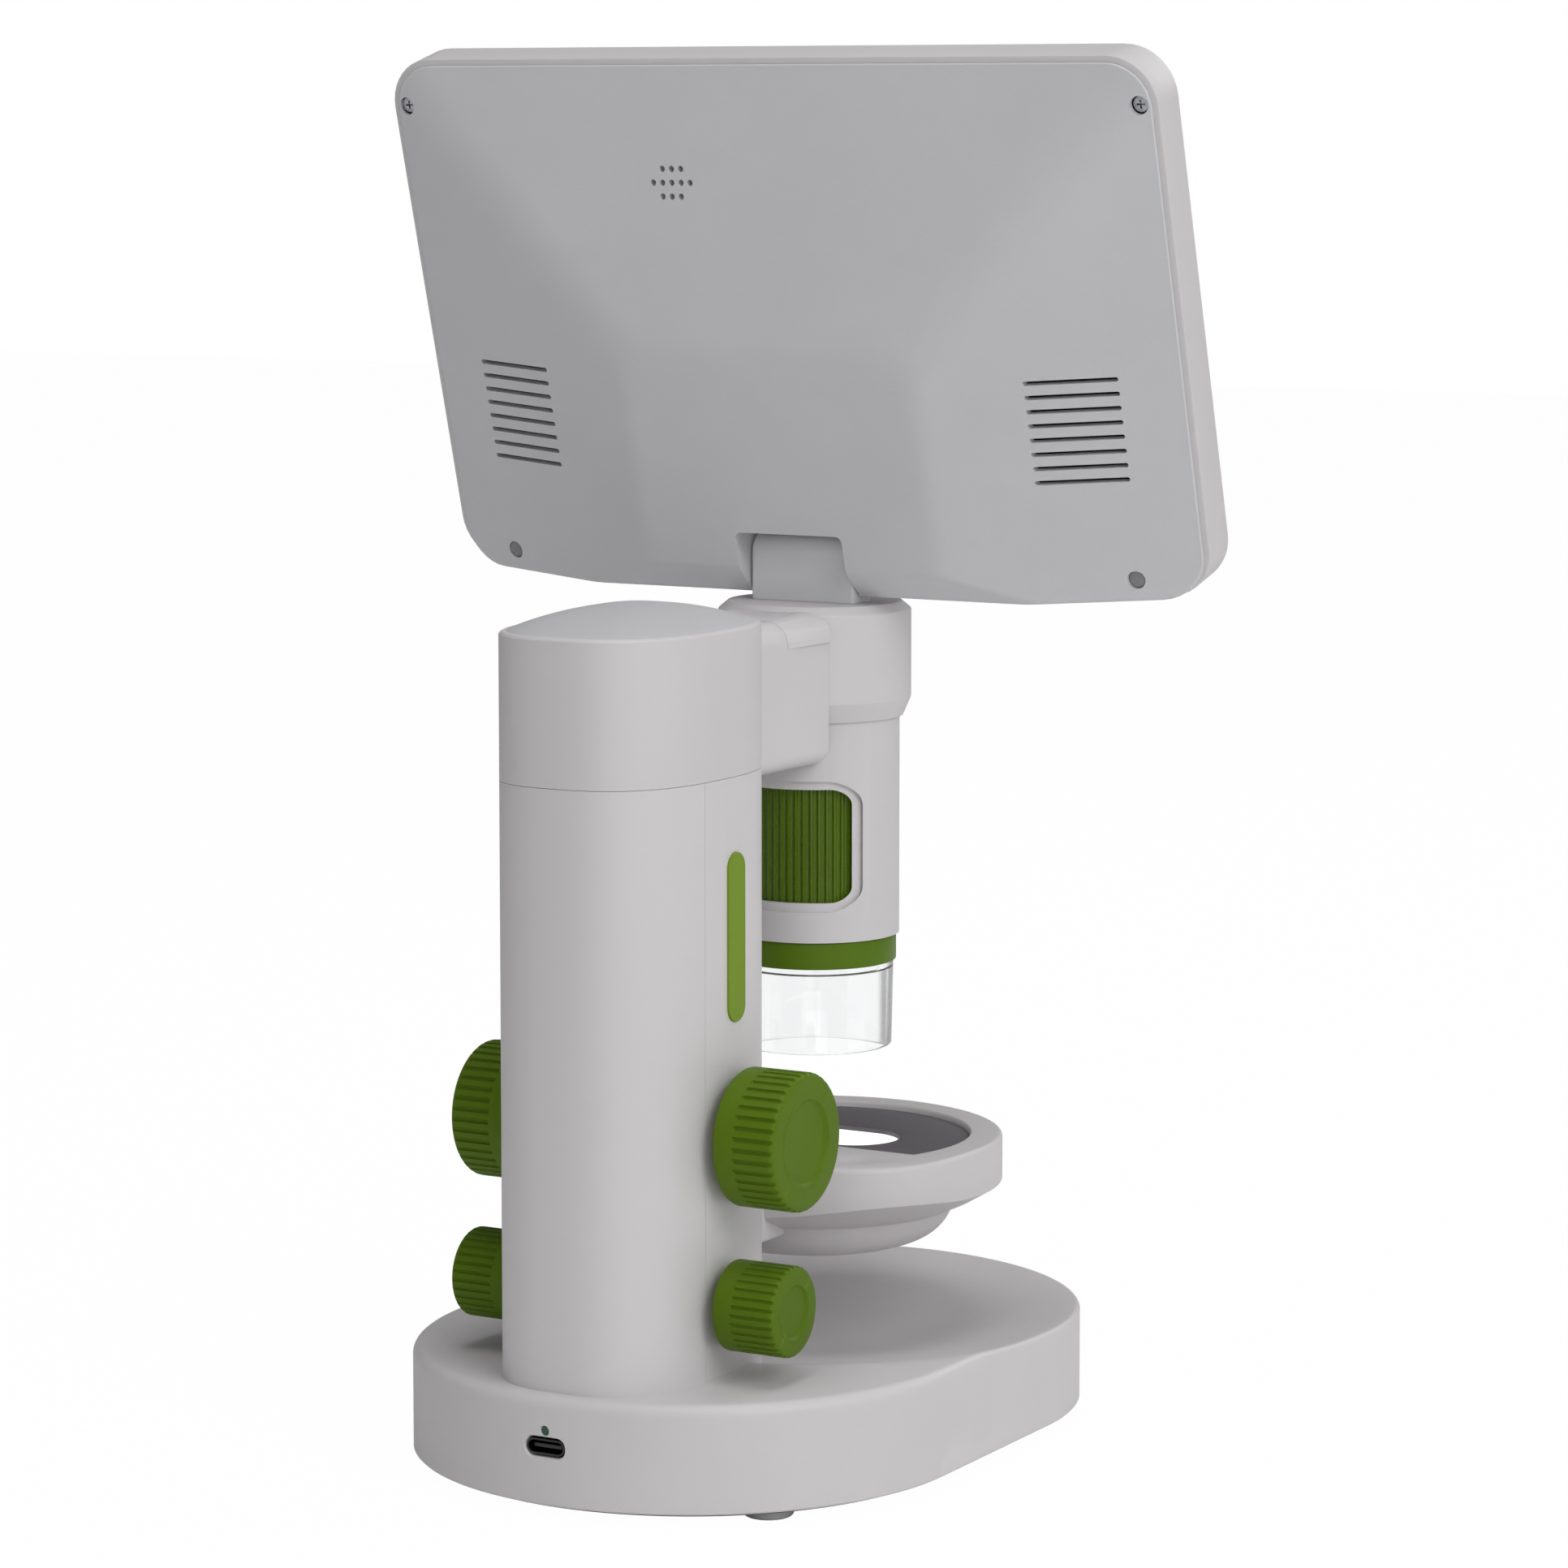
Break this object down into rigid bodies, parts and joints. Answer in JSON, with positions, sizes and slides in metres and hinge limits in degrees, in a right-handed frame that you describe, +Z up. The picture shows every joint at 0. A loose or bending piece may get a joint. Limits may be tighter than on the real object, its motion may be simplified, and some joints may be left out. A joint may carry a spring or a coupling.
{
  "type": "lcd digital microscope",
  "caption": "Desk-top digital microscope with a tilting flat screen, lens head on an oval column, rack-driven lift stage, side knobs and a round-ended dished foot.",
  "frame": {"origin": "centre of the foot's outline, on the table", "axes": "+Z up; -Y is the front, where the user sits and the screen faces; +Y is the rear, where the column and the power inlet are; +X is the user's right"},
  "size_m": [0.188, 0.1696, 0.3005],
  "materials": {
    "pale_plastic": "fine satin moulded plastic, pale grey",
    "grey_plastic": "satin moulded plastic, light grey",
    "grey_rubber": "soft grey rubber",
    "green_plastic": "satin leaf-green plastic, lightly grained",
    "deep_green_plastic": "satin deep green plastic",
    "dark_plastic": "matt dark grey plastic",
    "black_plastic": "matt black plastic",
    "steel": "bright machined steel",
    "brass": "plain machined brass",
    "circuit_board": "green glass-fibre board with dark chips",
    "clear_plastic": "clear moulded plastic",
    "lens_glass": "polished lens glass",
    "screen_glass": "smooth dark cover glass",
    "white_diffuser": "milky white light diffuser"
  },
  "bodies": {
    "stand": {"base_shell": "pale_plastic", "base_plate": "dark_plastic", "base_feet": "grey_rubber", "base_screws": "steel", "ballast_plate": "steel", "battery": "black_plastic", "power_board": "circuit_board", "usb_socket": "steel", "column_front": "pale_plastic", "column_rear_cover": "pale_plastic", "column_screws": "steel", "column_head": "pale_plastic", "column_cap": "pale_plastic", "side_strips": "green_plastic", "guide_rods": "steel", "shaft_bushes": "brass", "dimmer_board": "circuit_board", "main_lead": "black_plastic", "arm_cover": "pale_plastic", "head_cap": "pale_plastic", "head_barrel": "pale_plastic", "lens_ring": "deep_green_plastic", "clear_shroud": "clear_plastic", "sensor_mount": "black_plastic", "sensor_board": "circuit_board", "ring_light": "circuit_board", "hinge_stem": "grey_plastic", "head_screws": "steel"},
    "stage": {"stage_body": "pale_plastic", "stage_plate": "dark_plastic", "light_diffuser": "white_diffuser", "stage_lamp_board": "circuit_board", "stage_housing": "pale_plastic", "stage_screws": "steel", "stage_carriage": "grey_plastic", "carriage_bushes": "brass", "lift_rack": "brass"},
    "focus_drive": {"focus_shaft": "steel", "pinion": "brass", "focus_knob_left": "green_plastic", "focus_knob_right": "green_plastic"},
    "dimmer_left": {"dimmer_knob_left": "green_plastic"},
    "dimmer_right": {"dimmer_knob_right": "green_plastic"},
    "wheel": {"focus_wheel": "green_plastic"},
    "lens": {"lens_carrier": "black_plastic", "objective_lens": "lens_glass"},
    "screen": {"screen_frame": "pale_plastic", "screen_glass": "screen_glass", "display_panel": "black_plastic", "main_board": "circuit_board", "button_board": "circuit_board", "screen_speaker": "black_plastic", "screen_back": "grey_plastic", "screen_screws": "steel", "screw_plugs": "grey_rubber", "hinge_pin": "steel"},
    "power_key": {"button_power": "grey_plastic"},
    "menu_key": {"button_menu": "grey_plastic"},
    "shutter_key": {"button_shutter": "grey_plastic"},
    "play_key": {"button_play": "grey_plastic"}
  },
  "joints": [
    {"name": "stage_lift", "type": "slide", "parent": "stand", "child": "stage", "axis": [0, 0, 1], "range_m": [-0.01, 0.014]},
    {"name": "focus_turn", "type": "hinge", "parent": "stand", "child": "focus_drive", "pos_m": [0, 0.0452, 0.0751], "axis": [-1, 0, 0], "range_deg": [-81.9, 114.6]},
    {"name": "dimmer_left_turn", "type": "hinge", "parent": "stand", "child": "dimmer_left", "pos_m": [-0.032, 0.0503, 0.0406], "axis": [1, 0, 0], "range_deg": [-135, 135]},
    {"name": "dimmer_right_turn", "type": "hinge", "parent": "stand", "child": "dimmer_right", "pos_m": [0.032, 0.0503, 0.0406], "axis": [1, 0, 0], "range_deg": [-135, 135]},
    {"name": "lens_slide", "type": "slide", "parent": "stand", "child": "lens", "axis": [0, 0, 1], "range_m": [-0.003, 0.003]},
    {"name": "wheel_turn", "type": "hinge", "parent": "stand", "child": "wheel", "pos_m": [0, -0.02724, 0.1273], "axis": [0, 0, 1], "range_deg": [-270, 270]},
    {"name": "screen_tilt", "type": "hinge", "parent": "stand", "child": "screen", "pos_m": [0, -0.02554, 0.1902], "axis": [-1, 0, 0], "range_deg": [-15, 55]},
    {"name": "power_press", "type": "slide", "parent": "screen", "child": "power_key", "axis": [0, 0.9626, -0.2708], "range_m": [0, 0.0006], "stiffness_N_per_m": 400},
    {"name": "menu_press", "type": "slide", "parent": "screen", "child": "menu_key", "axis": [0, 0.9626, -0.2708], "range_m": [0, 0.0006], "stiffness_N_per_m": 400},
    {"name": "shutter_press", "type": "slide", "parent": "screen", "child": "shutter_key", "axis": [0, 0.9626, -0.2708], "range_m": [0, 0.0006], "stiffness_N_per_m": 400},
    {"name": "play_press", "type": "slide", "parent": "screen", "child": "play_key", "axis": [0, 0.9626, -0.2708], "range_m": [0, 0.0006], "stiffness_N_per_m": 400}
  ],
  "couplings": [
    {"joint": "focus_turn", "follows": "stage_lift", "rad_per_m": 142.86},
    {"joint": "wheel_turn", "follows": "lens_slide", "rad_per_m": 1570.7}
  ]
}
